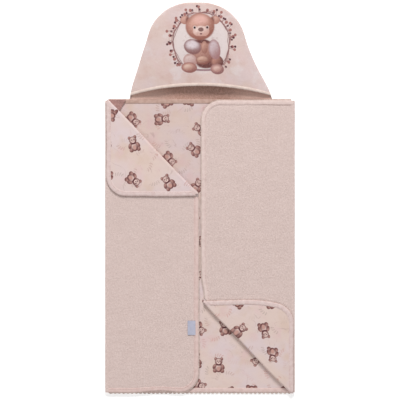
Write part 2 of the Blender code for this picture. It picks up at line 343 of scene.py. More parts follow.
def wreath(art, centre, radii, reach):
    """A ring of twigs that is open below, with leaves and berries growing out of it."""
    look = art.look
    away, angle = polar(look, art.local(centre, radii))
    mean = (radii[0] + radii[1]) / 2 * 0.001
    wander = look.noise(art.place, 45, 2.0) - 0.5
    twig, berry, leaf = (122, 82, 82), (92, 56, 62), (158, 108, 102)
    closed = look.ramp(look.line(angle, -math.pi / 2, reach), 0.0, 0.05, 1.0, 0.0)
    for start, wave, width, colour in (
        (0.0, 0.02, 0.034, twig),
        (0.03, -0.034, 0.024, leaf),
        (-0.02, 0.03, 0.02, twig),
    ):
        bend = look.math("SINE", angle * 7.0 + start * 90) * wave
        path = away - 1.0 - start - bend + wander * 0.09
        art.lay(look.line(path, 0.0, width) * closed * 0.9, colour)
    for count, offset, size, colour, seed in (
        (25, 0.0075, 0.0034, leaf, 3.0),
        (21, 0.012, 0.0024, berry, 7.0),
        (29, 0.0075, 0.0022, berry, 11.0),
        (17, 0.015, 0.0028, leaf, 15.0),
    ):
        turns = angle * (count / (2 * math.pi)) + seed
        slot = look.math("FLOOR", turns)
        chance = look.out("TexWhiteNoise", "Value", {"W": slot + seed}, noise_dimensions="1D")
        step = 2 * math.pi * mean / count
        along = (look.math("FRACT", turns) - 0.5 - (chance - 0.5) * 0.5) * step
        out = (away - 1.0) * mean - offset * (chance * 0.9 + 0.5)
        spot = look.out("CombineXYZ", 0, {0: along / size, 1: out / (size * 1.25)})
        stem_path = along - out * (chance - 0.5)
        stem = look.line(stem_path, 0.0, 0.001) * look.ramp(away, 0.99, 1.0)
        stem = stem * look.ramp(out, 0.001, 0.0)
        art.lay(stem * closed * 0.85, twig)
        drawn = look.ramp(look.length(spot), 1.15, 0.8) * closed
        art.lay(drawn * look.ramp(chance, 0.1, 0.3), colour)


def big_teddy(look, place, colour):
    """A seated teddy inside a wreath, as a soft watercolour."""
    art = Print(look, place, colour)
    art.spot((11.8, 132.7), (63, 70), (216, 202, 200), soft=0.12)
    wreath(art, (11.8, 132.7), (66.7, 72.5), 0.86)
    brown, dark = (132, 84, 76), (104, 64, 62)
    fur, warm, pale = (190, 146, 134), (202, 160, 148), (204, 186, 190)
    art.spot((15, 68.5), (30, 3.4), (150, 122, 126), soft=0.3)
    art.spot((15, 71.6), (17, 1.8), (226, 214, 212), soft=0.3)
    art.blob((18, 106), (30, 33), fur, brown)
    art.spot((20, 80), (20, 8.5), dark, soft=0.3)
    art.blob((47, 88), (15, 15), (184, 134, 120), dark, turn=0.4)
    art.blob((-16.5, 90), (16, 16), (212, 188, 184), (176, 134, 128))
    art.blob((-20, 73.5), (18.5, 12.5), (204, 158, 146), (142, 94, 88))
    art.blob((-22.5, 74.7), (10.8, 7), (218, 188, 174), (176, 130, 118), rim=0.5)
    art.blob((45.8, 70), (15.8, 12.5), (196, 154, 146), (138, 96, 94))
    art.blob((45.5, 70.5), (9, 7), (212, 180, 170), (172, 128, 120), rim=0.5)
    art.blob((13.4, 91.5), (16, 11), (208, 170, 154), brown, rim=0.75)
    art.spot((13.4, 90.5), (9.5, 1.3), (172, 128, 112), soft=0.5)
    art.blob((42.6, 116.8), (14, 24), pale, (160, 118, 118), turn=0.12)
    art.blob((-8.7, 122.8), (20.8, 18), pale, (134, 94, 92), turn=-0.3, rim=0.85)
    art.spot((-10, 127.5), (12, 8.5), (214, 200, 204), soft=0.6)
    art.spot((14.8, 136.2), (17, 5.2), dark, turn=-0.12, soft=0.35)
    art.blob((19, 121.5), (7.8, 15), (196, 152, 138), (150, 104, 94))
    for across in (-35.9, 35.9):
        art.blob((8.8 + across, 186.8), (10.8, 10.4), warm, (170, 124, 112))
        art.spot((8.8 + across * 0.8, 185.8), (5, 8.8), (128, 84, 76), soft=0.5)
    art.blob((8.8, 171), (34.2, 32.2), (208, 162, 148), (146, 94, 82), rim=0.75)
    art.spot((9.8, 188), (15, 10.5), (216, 170, 160), soft=0.7)
    art.blob((11.4, 159.8), (19.5, 13.5), (228, 204, 196), (196, 152, 140), rim=0.5)
    art.spot((10.9, 164), (6.6, 5), (124, 92, 88), soft=0.25)
    art.spot((11.2, 153.7), (3, 1.8), (120, 82, 82), soft=0.3)
    art.spot((11.4, 147.8), (12, 1), (150, 100, 90), soft=0.5)
    for middle in ((-3.8, 168.4), (25.9, 168.9)):
        art.spot(middle, (4.4, 4.8), (208, 182, 176), soft=0.3)
        art.spot(middle, (2.5, 2.8), (40, 26, 32), soft=0.2)
    brush = look.noise(place, 260, 2.0)
    painted = look.mix(look.ramp(brush, 0.55, 0.75) * 0.14, art.colour, (232, 214, 208))
    dabs = look.noise(look.moved(place, 2.2, 5.1), 170, 3.0)
    near = look.length(art.local((11.8, 125), (55, 75)))
    shade = look.ramp(dabs, 0.5, 0.66) * look.ramp(near, 0.95, 0.7) * 0.22
    return look.mix(shade, painted, (150, 104, 96))


# ---------------------------------------------------------------- materials


def terry_look(name, colour, shade, ends=None):
    """Looped pile: small round loops in uneven rows. ends is a lighter colour for its far sides,
    painted light where light reaches in.
    """
    look = Look(name, roughness=1.0, sheen=0.2)
    place = look.cloth_place()
    stray = look.out("TexNoise", "Color", {"Vector": place, "Scale": 240.0, "Detail": 2.0})
    warped = look.vector("MULTIPLY_ADD", stray, (0.0016, 0.0016, 0.0), place)
    loops = look.out("TexVoronoi", "Distance", {"Vector": warped, "Scale": 700.0})
    clump = look.noise(place, 230, 2.0, 0.6)
    broad = look.noise(look.vector("MULTIPLY", place, (1.0, 2.0, 1.0)), 30, 4.0)
    base = look.mix(look.ramp(broad, 0.3, 0.7, 0.0, 0.22), colour, shade)
    base = look.mix(look.ramp(loops, 0.35, 0.8, 0.0, 0.55), base, shade)
    base = look.mix(look.ramp(clump, 0.35, 0.6, 0.5, 0.0), base, shade)
    if ends:
        # Painted light: the far sides across the cloth are mixed towards the lighter ends colour.
        lit_sides = look.ramp(look.math("ABSOLUTE", look.split(place)[0]), 0.045, 0.135)
        base = look.mix(lit_sides * 0.6, base, ends)
    look.colour(base)
    height = look.ramp(loops, 0.0, 0.9, 1.0, 0.0) + clump * 0.6
    look.bump(height, 0.0009, 0.7)
    return look.material


def woven(look, place, crinkle=1.0):
    threads = look.noise(place, 1500, 1.0)
    crease = look.noise(place, 70, 3.0, 0.55)
    look.bump(threads * 0.25 + crease * crinkle, 0.0012, 0.55)


def plain_cloth_look(name, colour, shade, crinkle=1.0, sheen=0.1, roughness=0.85):
    look = Look(name, roughness=roughness, sheen=sheen)
    place = look.cloth_place()
    tint = look.noise(place, 110, 3.0)
    look.colour(look.mix(look.ramp(tint, 0.3, 0.7), shade, colour))
    woven(look, place, crinkle)
    return look.material


def all_over_print_look(name, hood_shade_strength):
    look = Look(name, roughness=0.9, sheen=0.08)
    place = look.cloth_place()
    colour = sprigs(look, place, mottled_ground(look, place))
    colour = small_teddies(look, place, colour)
    if hood_shade_strength:
        # Painted shade: the print darkens towards its top, where the hood overhangs it.
        hood_shade = look.ramp(look.split(place)[1], 0.05, 0.16)
        colour = look.mix(hood_shade * hood_shade_strength, colour, (150, 112, 106))
    look.colour(colour)
    woven(look, place)
    return look.material


def hood_print_look():
    look = Look("hood_print", roughness=0.9, sheen=0.08)
    place = look.cloth_place()
    ground = mottled_ground(look, look.moved(place, 1.9, 0.6))
    ground = look.mix(0.55, ground, (200, 178, 174))
    wash = look.noise(look.moved(place, 4.3, 2.6), 21, 5.0, 0.6)
    ground = look.mix(look.ramp(wash, 0.48, 0.66) * 0.34, ground, (196, 160, 148))
    pale = look.noise(look.moved(place, 8.8, 3.1), 26, 4.0, 0.6)
    ground = look.mix(look.ramp(pale, 0.5, 0.66) * 0.5, ground, (218, 208, 208))
    look.colour(big_teddy(look, place, ground))
    woven(look, place)
    return look.material


TERRY_LOOK = terry_look("terry_pile", (230, 209, 203), (208, 185, 178))
# The hood's pile is tan and darker than the body's terry. This is partly its own colour and partly
# painted shade inside the hood. Its ends colour is painted light at the mouth's far sides.
HOOD_TERRY_LOOK = terry_look(
    "hood_terry_pile", (206, 166, 152), (160, 120, 106), ends=(246, 208, 194)
)
PRINT_LOOK = all_over_print_look("printed_cotton", 0.0)
# The back's print carries painted shade near the neck, under the hood.
BACK_PRINT_LOOK = all_over_print_look("back_printed_cotton", 0.14)
HOOD_PRINT_LOOK = hood_print_look()
TAPE_LOOK = plain_cloth_look("binding_tape", (223, 198, 192), (214, 186, 180), 2.0)
PALE_TAPE_LOOK = plain_cloth_look("pale_tape", (222, 202, 198), (214, 190, 186), 2.0)
SAND_TAPE_LOOK = plain_cloth_look("sand_tape", (226, 205, 199), (216, 193, 187), 2.0)
FLAP_TAPE_LOOKS = {LEFT: TAPE_LOOK, RIGHT: SAND_TAPE_LOOK}
# The neck tape is darker and browner than the bottom tape. This is partly a tan tape and partly
# painted shade under the hood.
NECK_LOOK = plain_cloth_look("neck_tape", (196, 166, 154), (182, 150, 138), 2.0)
# Painted shade: the tucked pile is coloured dark, as pile seen in the shadow inside the left fold.
SHADED_TUCK_LOOK = terry_look("tucked_pile", (184, 146, 139), (152, 110, 106))
EDGING_LOOK = plain_cloth_look("scalloped_edging", (216, 200, 191), (194, 175, 166), 3.0)
# Painted shade: the corners' edging is a darker copy of the edging, for the shadow under the turned
# corners' edges.
SHADED_EDGING_LOOK = plain_cloth_look(
    "turned_edging", (206, 182, 174), (184, 158, 150), 3.0
)
BROWN_THREAD_LOOK = plain_cloth_look("brown_thread", (192, 152, 142), (178, 136, 128))
CREAM_LOOK = plain_cloth_look("cream_tape", (228, 210, 200), (216, 194, 184), 2.0)
THREAD_LOOK = plain_cloth_look("topstitch_thread", (188, 154, 144), (174, 138, 130))
SATIN_LOOK = plain_cloth_look(
    "label_satin", (188, 188, 204), (178, 178, 195), 0.6, 0.3, 0.45
)


# ---------------------------------------------------------------- cloth building

# Each kind of cloth in the wings: its thickness, its look and its slot
KINDS = {
    "terry": (TERRY, TERRY_LOOK, "terry"),
    "lining": (COTTON, PRINT_LOOK, "printed_cotton"),
    "tape": (TAPE, TAPE_LOOK, "binding_tape"),
    "pale_tape": (TAPE, PALE_TAPE_LOOK, "binding_tape"),
}
ROLLED = ("terry", "lining")
CUT_SIZES = {}
SWELL = (
    (0.3, 41.0, 17.0, 0.4),
    (0.26, -23.0, 34.0, 2.1),
    (0.2, 63.0, -29.0, 4.0),
    (0.14, 15.0, 88.0, 1.2),
    (0.1, 120.0, 47.0, 5.1),
)


LEFT_STRETCH = 0.036
RIGHT_CREEP = 0.0078
CORNER_SAG = 0.0085
HEM_PULL = 0.0052
WING_DIP = 0.0005
BACK_DIP = 0.0002
BACK_SINK = 0.0005


def bump_at(value, middle, width):
    return np.exp(-(((value - middle) / width) ** 2))


def settle(points, side):
    """Let the folded body lie softly: edges wander a little and the plies dip in places.

    side is 0 for the back, and otherwise says which wing the points are on. Nothing rises, so
    that a wing folded out still clears what lies beside and under it.
    """
    x, y, z = points.T
    inside = unit((NECK_Y + 0.004 - y) / 0.03)
    ply = np.clip(z / (3 * PLY), 0, 1.2)
    over = unit((z - PLY) / 0.001)
    right, left = over * (side == RIGHT), over * (side == LEFT)
    tip = BODY_Y + FLAP_WIDTH - DIAGONAL
    x = x + right * RIGHT_CREEP * bump_at(x, 0.0, 0.06) * bump_at(y, tip + 0.005, 0.034)
    y = y - left * LEFT_STRETCH * (NECK_Y - y) * unit((y + 0.08) / 0.085)
    turned = right * unit((z - 2.08 * PLY) / 0.0005)
    turned = turned * unit((x + y - tip) / 0.05)
    y = y + turned * (0.0004 * bump_at(x, 0.055, 0.075) - CORNER_SAG * bump_at(x, 0.2, 0.045))
    x = x + inside * ply * 0.0003 * np.sin(31 * y + 9 * x)
    y = y + inside * ply * 0.0006 * np.sin(27 * x + 11 * y)
    hem = left * bump_at(y, BODY_Y - HALF_LENGTH, 0.03) * bump_at(x, -0.095, 0.045)
    y = y + HEM_PULL * hem
    dip = 0.95 - sum(size * np.sin(kx * x + ky * y + turn) for size, kx, ky, turn in SWELL)
    clear = unit((FOLD_X - ROLL_MARGIN - np.abs(x)) / 0.02)
    if side:
        depth = WING_DIP * unit((z - 0.0044) / 0.0038)
    else:
        depth = BACK_DIP * unit((z - 0.0024) / 0.0012)
        z = z - BACK_SINK * clear
    z = z - inside * clear * depth * np.clip(dip, 0, 2)
    return np.stack((x, y, z), 1)


def select_none():
    bpy.ops.object.select_all(action="DESELECT")


def select_only(piece):
    select_none()
    bpy.context.view_layer.objects.active = piece
    piece.select_set(True)


def flat_grid(name, low, high, columns, rows):
    """A flat grid of cloth from one corner to the other."""
    select_none()
    bpy.ops.mesh.primitive_grid_add(x_subdivisions=columns, y_subdivisions=rows, size=1)
    piece = bpy.context.object
    piece.name = name
    size = Matrix.Diagonal((high[0] - low[0], high[1] - low[1], 1, 1))
    middle = Matrix.Translation(((low[0] + high[0]) / 2, (low[1] + high[1]) / 2, 0))
    piece.data.transform(middle @ size)
    return piece


def square_grid(name, low, high):
    columns, rows = (round((end - start) / CELL) for start, end in zip(low, high))
    return flat_grid(name, low, high, columns, rows)


def cut_to(piece, lines):
    """Cut the flat grid along lines, each a point and the direction that is cut away."""
    cloth = bmesh.new()
    cloth.from_mesh(piece.data)
    for point, away in lines:
        everything = cloth.verts[:] + cloth.edges[:] + cloth.faces[:]
        bmesh.ops.bisect_plane(
            cloth,
            geom=everything,
            dist=1e-6,
            plane_co=(*point, 0),
            plane_no=(*away, 0),
            clear_outer=True,
        )
    cloth.to_mesh(piece.data)
    cloth.free()


def keep_flat_place(mesh, cloth):
    """Make the flat place of each point the mesh's only UV map."""
    corners = np.empty(len(mesh.loops), int)
    mesh.loops.foreach_get("vertex_index", corners)
    while mesh.uv_layers:
        mesh.uv_layers.remove(mesh.uv_layers[0])
    layer = mesh.uv_layers.new(name="cloth")
    layer.data.foreach_set("uv", cloth[corners].ravel())


def carry(piece, place, flat, side):
    """Move each flat point to its place on the towel and keep its flat place as the UV map.

    side is 0, LEFT or RIGHT for what settles with the body, and None for what doesn't.
    """
    mesh = piece.data
    co = np.empty(len(mesh.vertices) * 3)
    mesh.vertices.foreach_get("co", co)
    u, v = co.reshape(-1, 3)[:, :2].T
    points = np.stack(np.broadcast_arrays(*place(u, v)), 1)
    if side is not None:
        points = settle(points, side)
    cloth = np.stack(np.broadcast_arrays(*flat(u, v)), 1)
    low, high = cloth.min(0), cloth.max(0)
    mesh.vertices.foreach_set("co", np.pad(cloth, ((0, 0), (0, 1))).ravel())
    mesh.update()
    area = sum(polygon.area for polygon in mesh.polygons)
    CUT_SIZES[piece.name] = (high[0] - low[0], high[1] - low[1], area)
    mesh.vertices.foreach_set("co", points.ravel())
    keep_flat_place(mesh, cloth)
    mesh.update()


def declare(piece):
    """Work out the flat size of a cloth, as it was cut; nothing keeps the result."""
    width, length, area = CUT_SIZES[piece.name]
    share = min(max(area / (width * length), 0.3), 1.0)
    area = float(share * width * length)


def thicken(piece, thickness, outward):
    """Make the sheet solid behind the face that looks outward, or to both sides."""
    mesh = piece.data
    if outward is not None:
        normals, centres = np.empty((2, len(mesh.polygons) * 3))
        mesh.polygons.foreach_get("normal", normals)
        mesh.polygons.foreach_get("center", centres)
        if (normals.reshape(-1, 3) * outward(centres.reshape(-1, 3))).sum() < 0:
            mesh.flip_normals()
    solid = piece.modifiers.new("thickness", "SOLIDIFY")
    solid.thickness = thickness
    solid.offset = 0 if outward is None else -1
    select_only(piece)
    bpy.ops.object.modifier_apply(modifier=solid.name)


def dress(piece, material, smooth=50):
    """Give the piece its material, and its smooth shading up to an angle."""
    piece.data.materials.clear()
    piece.data.materials.append(material)
    select_only(piece)
    bpy.ops.object.shade_smooth_by_angle(angle=math.radians(smooth))
    return piece


def lay_cloth(piece, place, flat, side, thickness, outward, material, smooth=50):
    """Turn a flat grid into a cloth in its place."""
    carry(piece, place, flat, side)
    thicken(piece, thickness, outward)
    return dress(piece, material, smooth)


def up(points):
    return np.array((0.0, 0.0, 1.0))


def down(points):
    return np.array((0.0, 0.0, -1.0))


def join_to(piece, bodies, node=None):
    """Parent the piece to the empty of the body it rides on, or with two bodies keep it unparented
    in its world place, and hide the node that it stands for.
    """
    if len(bodies) == 2:
        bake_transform(piece)
    else:
        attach(piece, bodies[0])
    if node:
        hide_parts(node)
    return piece


# ---------------------------------------------------------------- where flat cloth goes


def word(side):
    return "left" if side == LEFT else "right"


def back_place(u, v, w):
    return u, BODY_Y + v, w


def back_flat(u, v):
    return u, v


def flap_place(side):
    """A flap lies terry side up. u runs out from its fold, w up from its terry face."""

    def place(u, v, w):
        return side * (FOLD_X - u), BODY_Y + side * v, 2 * FOLD_Z - w

    return place


def bowed(side, x, y):
    """The diagonal folds aren't quite straight. x is from the side fold, y along it."""
    p = (x + y + DIAGONAL) * HALF_TURN
    bow = (0.0022 if side == RIGHT else 0.001) * np.sin(p * 20.5 + 0.4) * HALF_TURN
    return x + bow, y - bow


def corner_place(side):
    """A corner is turned back over its diagonal and lies print side up."""

    def place(u, v, w):
        x, y = bowed(side, v + DIAGONAL, u - DIAGONAL)
        return side * (FOLD_X - x), BODY_Y + side * y, LAP_RISE + w

    return place


def wing_place(side, part):
    return flap_place(side) if part == FLAP else corner_place(side)


def wing_flat(side):
    def flat(u, v):
        return side * (FOLD_X + u) + PRINT_SHIFT[0], side * v + PRINT_SHIFT[1]

    return flat


def inside_edges(u, v, part):
    """How far a point of a wing is inside its free edges."""
    v = part * v
    straight = np.minimum(FLAP_WIDTH - u, HALF_LENGTH - v)
    du, dv = u - (FLAP_WIDTH - CORNER_RADIUS), v - (HALF_LENGTH - CORNER_RADIUS)
    rounded = CORNER_RADIUS - np.hypot(du, dv)
    return np.where((du > 0) & (dv > 0), rounded, straight)


def plump(inside):
    """0 under the tape, rising to 1 a little way in from it."""
    return 1 - np.exp(-unit(inside - TAPE_INNER + 0.001) / 0.005)


def terry_face(inside):
    """How high the terry's face lies: pressed under the tape, and plump away from it."""
    return 0.0008 - 0.0009 * plump(inside)


def print_face(inside):
    return PLY - 0.0006 + 0.0005 * plump(inside)


def free_edge_cuts(inset, part):
    """The lines that round a wing's free corner."""
    centre = np.array((FLAP_WIDTH - CORNER_RADIUS, part * (HALF_LENGTH - CORNER_RADIUS)))
    cuts = []
    for angle in np.radians(np.arange(7.5, 90, 7.5)):
        away = np.array((math.sin(angle), part * math.cos(angle)))
        cuts.append((tuple(centre + away * (CORNER_RADIUS - inset)), tuple(away)))
    return cuts


def wing_cloth(name, side, part, kind, face):
    """The cloth of one flap or of its turned-back corner."""
    edge = FLAP_WIDTH - CLOTH_EDGE
    if part == FLAP:
        low, high = (ROLL_MARGIN, -DIAGONAL), (edge, HALF_LENGTH - CLOTH_EDGE)
    else:
        low, high = (0.0, CLOTH_EDGE - HALF_LENGTH), (edge, edge - DIAGONAL)
    piece = square_grid(name, low, high)
    slant = part * ROLL_MARGIN * math.sqrt(2)
    diagonal = ((0.0, slant - DIAGONAL), (part * HALF_TURN, -part * HALF_TURN))
    cut_to(piece, [diagonal] + free_edge_cuts(CLOTH_EDGE, part))
    where = wing_place(side, part)

    def place(u, v):
        return where(u, v, face(inside_edges(u, v, part)))

    thickness, material, _ = KINDS[kind]
    outward = up if (kind == "terry") == (part == FLAP) else down
    return lay_cloth(piece, place, wing_flat(side), side, thickness, outward, material)


def back_cloth(name, face, thickness, outward, material):
    half = FOLD_X - ROLL_MARGIN
    low, high = (-half, CLOTH_EDGE - HALF_LENGTH), (half, HALF_LENGTH - 0.001)
    piece = square_grid(name, low, high)

    def place(u, v):
        return back_place(u, v, face(np.minimum(HALF_LENGTH + v, HALF_LENGTH - v)))

    return lay_cloth(piece, place, back_flat, 0, thickness, outward, material)


# ---------------------------------------------------------------- rolls over the folds


def round_fold(t, radius):
    """A fold's section: level in, half a turn, level out. Gives how far out and how high."""
    arc = math.pi * radius
    total = arc + 2 * ROLL_MARGIN
    s = t * total
    turn = unit((s - ROLL_MARGIN) / arc) * math.pi
    last = np.where(s > total - ROLL_MARGIN, total - ROLL_MARGIN - s, 0.0)
    level = np.where(s < ROLL_MARGIN, s - ROLL_MARGIN, last)
    return level + radius * np.sin(turn), -radius * np.cos(turn)


def side_roll(name, side, span, section, columns, rows, kind):
    """Cloth round a side fold. section gives, from span, its place along and its layer."""
    piece = flat_grid(name, (0.0, span[0]), (1.0, span[1]), columns, rows)

    def place(t, q):
        along, layer = section(q)
        out, rise = round_fold(t, FOLD_Z - layer)
        return side * (FOLD_X + out), BODY_Y + along, FOLD_Z + rise

    def flat(t, q):
        return side * (FOLD_X + (2 * t - 1) * 0.008), section(q)[0]

    def outward(points):
        away = points - np.array((side * FOLD_X, 0.0, FOLD_Z))
        away[:, 1] = 0.0
        return away

    thickness, material, slot = KINDS[kind]
    lay_cloth(piece, place, flat, side, thickness, outward, material)
    x, body = side * FOLD_X, f"{word(side)}_flap"
    node = f"{word(side)}_fold_roll_{kind}" if kind in ROLLED else None
    return join_to(piece, ("back_panel", body), node)


def diagonal_roll(name, side, span, section, kind, first=0.0):
    """Cloth round a diagonal fold. section gives, from off and q, its place along and layer."""
    columns, rows = 25, max(3, round(abs(span) / CELL))
    piece = flat_grid(name, (first, 0.0), (1.0, 1.0), columns, rows)

    def place(t, q):
        off = (2 * t - 1) * ROLL_MARGIN
        p, layer = section(off, q)
        out, rise = round_fold(t, layer + 0.0002)
        x, y = bowed(side, (p + out) * HALF_TURN, (p - out) * HALF_TURN - DIAGONAL)
        return side * (FOLD_X - x), BODY_Y + side * y, CORNER_Z + rise

    def flat(t, q):
        off = (2 * t - 1) * ROLL_MARGIN
        p = section(off, q)[0]
        return wing_flat(side)((p + off) * HALF_TURN, (p - off) * HALF_TURN - DIAGONAL)

    along = np.array((-side, side, 0.0)) * HALF_TURN
    start = np.array((side * FOLD_X, BODY_Y - side * DIAGONAL, CORNER_Z))

    def outward(points):
        away = points - start
        return away - np.outer(away @ along, along)

    thickness, material, slot = KINDS[kind]
    lay_cloth(piece, place, flat, side, thickness, outward, material)
    bodies = (f"{word(side)}_flap", f"{word(side)}_corner")
    x, y = side * CORNER_X, BODY_Y + side * (CORNER_Y - BODY_Y)
    bend = 0.0016 if side == LEFT else 0.0004
    start, end = (x, y, CORNER_Z - bend), (x, y, CORNER_Z + bend)
    node = f"{word(side)}_corner_roll_{kind}" if kind in ROLLED else None
    return join_to(piece, bodies, node)


# ---------------------------------------------------------------- tape, scallops and stitches

TAPE_INSETS = (0.014, 0.0136, 0.012, 0.009, 0.0055, 0.004, 0.0036)
TAPE_RISES = (0.001, 0.0002, 0.0, -0.0001, 0.0001, 0.0006, 0.0014)


def tape_section(q):
    """A folded tape, from its inner edge on the terry side round to the print side."""
    insets = np.array(TAPE_INSETS + TAPE_INSETS[::-1])
    rises = np.array(TAPE_RISES + tuple(PLY - rise for rise in TAPE_RISES[::-1]))
    steps = np.linspace(0, 1, len(insets))
    return np.interp(q, steps, insets), np.interp(q, steps, rises)


def pucker(s, depth):
    return depth * (np.sin(s * 610) + 0.7 * np.sin(s * 353 + 1.0))


def edge_run(side, part):
    """A wing's free edge, round its corner to the diagonal.

    Gives its length, its path, what puts the path in its place, and its side. The path gives
    flat places from distances along it and insets. Its ends are slanted at the diagonal.
    """
    margin = ROLL_MARGIN * math.sqrt(2)
    start_u = ROLL_MARGIN if part == FLAP else DIAGONAL - HALF_LENGTH + margin
    stop_v = FLAP_WIDTH - DIAGONAL + part * margin
    first = FLAP_WIDTH - CORNER_RADIUS - start_u
    turn = CORNER_RADIUS * math.pi / 2
    length = first + turn + HALF_LENGTH - CORNER_RADIUS - part * stop_v

    def path(s, inset):
        leaving = unit(1 - s / 0.02) * (part == CORNER)
        arriving = unit((s - length + 0.02) / 0.02) * part
        s = s + inset * (leaving + arriving)
        angle = np.clip((s - first) / CORNER_RADIUS, 0, math.pi / 2)
        u = FLAP_WIDTH - CORNER_RADIUS + np.minimum(s - first, 0) + CORNER_RADIUS * np.sin(angle)
        v = HALF_LENGTH - CORNER_RADIUS * (1 - np.cos(angle)) - np.maximum(s - first - turn, 0)
        return u - np.sin(angle) * inset, part * (v - np.cos(angle) * inset)

    return length, path, wing_place(side, part), side


def straight_run(half, v_edge, inward):
    """A straight edge along the back, in the same terms."""

    def path(s, inset):
        return s - half, v_edge + inward * inset

    return 2 * half, path, back_place, 0


def strip(name, run, section, rows, thickness, cell, material):
    """Cloth that runs along an edge. section gives inset and layer from across and along."""
    length, path, where, side = run
    piece = flat_grid(name, (0.0, 0.0), (length, 1.0), round(length / cell), rows)

    def place(s, q):
        inset, layer = section(q, s)
        u, v = path(s, inset)
        return where(u, v, layer)

    def flat_place(s, q):
        return s, section(q, s)[0] + 0.02 * (q > 0.5)

    return lay_cloth(piece, place, flat_place, side, thickness, None, material, 60)


def tape_along(name, run, material):
    def section(q, s):
        inset, layer = tape_section(q)
        away = unit(np.abs(q - 0.5) * 4 - 0.6)
        return inset, layer + np.sign(q - 0.5) * pucker(s, 0.0001) * away

    return strip(name, run, section, 26, TAPE, 0.0025, material)


def scallops_along(name, run, scallops, look):
    """Scallops that stand out from an edge."""
    pitch, depth, outer, droop = scallops
    pitch = run[0] / max(1, round(run[0] / pitch))

    def section(q, s):
        swell = np.abs(np.sin(math.pi * s / pitch)) ** 0.7
        edge = outer + depth * (1 - swell)
        inset = EDGING_ROOT + (edge - EDGING_ROOT) * q
        layer = PLY / 2 + 0.0003 * np.sin(math.pi * q) * swell + droop * q**2
        return inset, layer

    return strip(name, run, section, 5, EDGING, pitch / 10, look)


def stitches_along(name, run, layer, material):
    """A row of short rounded stitches, each a stretched bead."""
    length, path, where, side = run
    select_none()
    bpy.ops.mesh.primitive_uv_sphere_add(segments=6, ring_count=4, radius=1)
    bead = bpy.context.object
    shape = np.array([vertex.co[:] for vertex in bead.data.vertices])
    shape_faces = [tuple(polygon.vertices) for polygon in bead.data.polygons]
    bpy.data.objects.remove(bead, do_unlink=True)
    count = round(length / STITCH_PITCH)
    middles = (np.arange(count) + 0.5) * length / count

    def spot(s):
        u, v = path(s, STITCH_INSET)
        return settle(np.stack(np.broadcast_arrays(*where(u, v, layer)), 1), side)

    centre = spot(middles)
    ahead = spot(middles + 0.0005) - centre
    ahead /= np.linalg.norm(ahead, axis=1, keepdims=True)
    upward = np.array((0.0, 0.0, 1.0))
    across = np.cross(upward, ahead)
    local = shape * np.array((STITCH_PITCH * 0.36, 0.0004, 0.0003))
    points = centre[:, None] + local[None, :, 0:1] * ahead[:, None]
    points = points + local[None, :, 1:2] * across[:, None] + local[None, :, 2:3] * upward
    points = points.reshape(-1, 3)
    size = len(shape)
    faces = [tuple(i + size * n for i in face) for n in range(count) for face in shape_faces]
    mesh = bpy.data.meshes.new(name)
    mesh.from_pydata(points.tolist(), [], faces)
    piece = bpy.data.objects.new(name, mesh)
    bpy.context.scene.collection.objects.link(piece)
    keep_flat_place(mesh, points[:, :2])
    return dress(piece, material, 80)


# ---------------------------------------------------------------- the body

# The scallops' sizes, the stitches' layer, and the looks of both; the corners' edging look is
# darkened as painted shade
WING_TRIM = {
    FLAP: (FLAP_SCALLOPS, -0.0003, EDGING_LOOK, THREAD_LOOK),
    CORNER: (CORNER_SCALLOPS, PLY + 0.0001, SHADED_EDGING_LOOK, BROWN_THREAD_LOOK),
}


def make_back():
    terry = back_cloth("back_terry_cloth", lambda inside: 0.0001, TERRY, down, TERRY_LOOK)
    join_to(terry, ("back_panel",), "back_terry")
    lining = back_cloth("back_print_cloth", print_face, COTTON, up, BACK_PRINT_LOOK)
    join_to(lining, ("back_panel",), "back_lining")
    trim = []
    half = FOLD_X - ROLL_MARGIN
    for name, end, look in (("bottom", -1, TAPE_LOOK), ("top", 1, NECK_LOOK)):
        edge = end * HALF_LENGTH + (TAPE_EDGE if end > 0 else 0)
        run = straight_run(half, edge, -end)
        tape = tape_along(f"back_{name}_tape", run, look)
        join_to(tape, ("back_panel",), f"back_{name}_binding")
        row = stitches_along(f"back_{name}_stitches", run, PLY - 0.0002, THREAD_LOOK)
        join_to(row, ("back_panel",))
        trim += [tape, row]
        if end < 0:
            edging = scallops_along("back_scallops", run, HEM_SCALLOPS, EDGING_LOOK)
            join_to(edging, ("back_panel",), "back_bottom_edging")
            trim.append(edging)
    return terry, lining, trim


def side_rolls(side):
    """The cloth and the tapes that go round a side fold."""
    rolls = []
    ends = (CLOTH_EDGE - HALF_LENGTH, HALF_LENGTH - CLOTH_EDGE)
    rows = round((ends[1] - ends[0]) / CELL)
    for kind, layer in (("terry", -0.0001), ("lining", PLY - 0.0009)):
        name = f"{word(side)}_side_roll_{kind}"
        rolls.append(side_roll(name, side, ends, lambda q, w=layer: (q, w), 26, rows, kind))
    for end, label in ((1, "top"), (-1, "bottom")):

        def section(q, end=end):
            inset, layer = tape_section(q)
            return end * (HALF_LENGTH - inset), layer

        name = f"{word(side)}_{label}_fold_tape"
        span = (0.0, 1.0) if end > 0 else (1.0, 0.0)
        rolls.append(side_roll(name, side, span, section, 20, 26, "tape"))
    return rolls


def turn_rolls(side):
    """The cloth and the tapes that go round a corner's diagonal fold."""
    rolls = []

    def reach(off, q, inset):
        short = 0.002 if side == LEFT else 0.0
        far = (FLAP_WIDTH - inset - short) * math.sqrt(2) - off
        near = (DIAGONAL - HALF_LENGTH + inset) * math.sqrt(2) + off
        return near + (far - near) * q

    for kind, layer in (("lining", PLY - 0.0001), ("terry", 0.0026)):

        def section(off, q, layer=layer):
            return reach(off, q, CLOTH_EDGE), layer

        name = f"{word(side)}_turn_roll_{kind}"
        rolls.append(diagonal_roll(name, side, 0.31, section, kind))
    for label, end, first in (("near", 0.0, 0.45), ("far", 1.0, 0.0)):

        def section(off, q, end=end):
            inset, layer = tape_section(q)
            return reach(off, end, inset), layer

        name = f"{word(side)}_{label}_turn_tape"
        rolls.append(diagonal_roll(name, side, 0.1, section, "pale_tape", first))
    return rolls


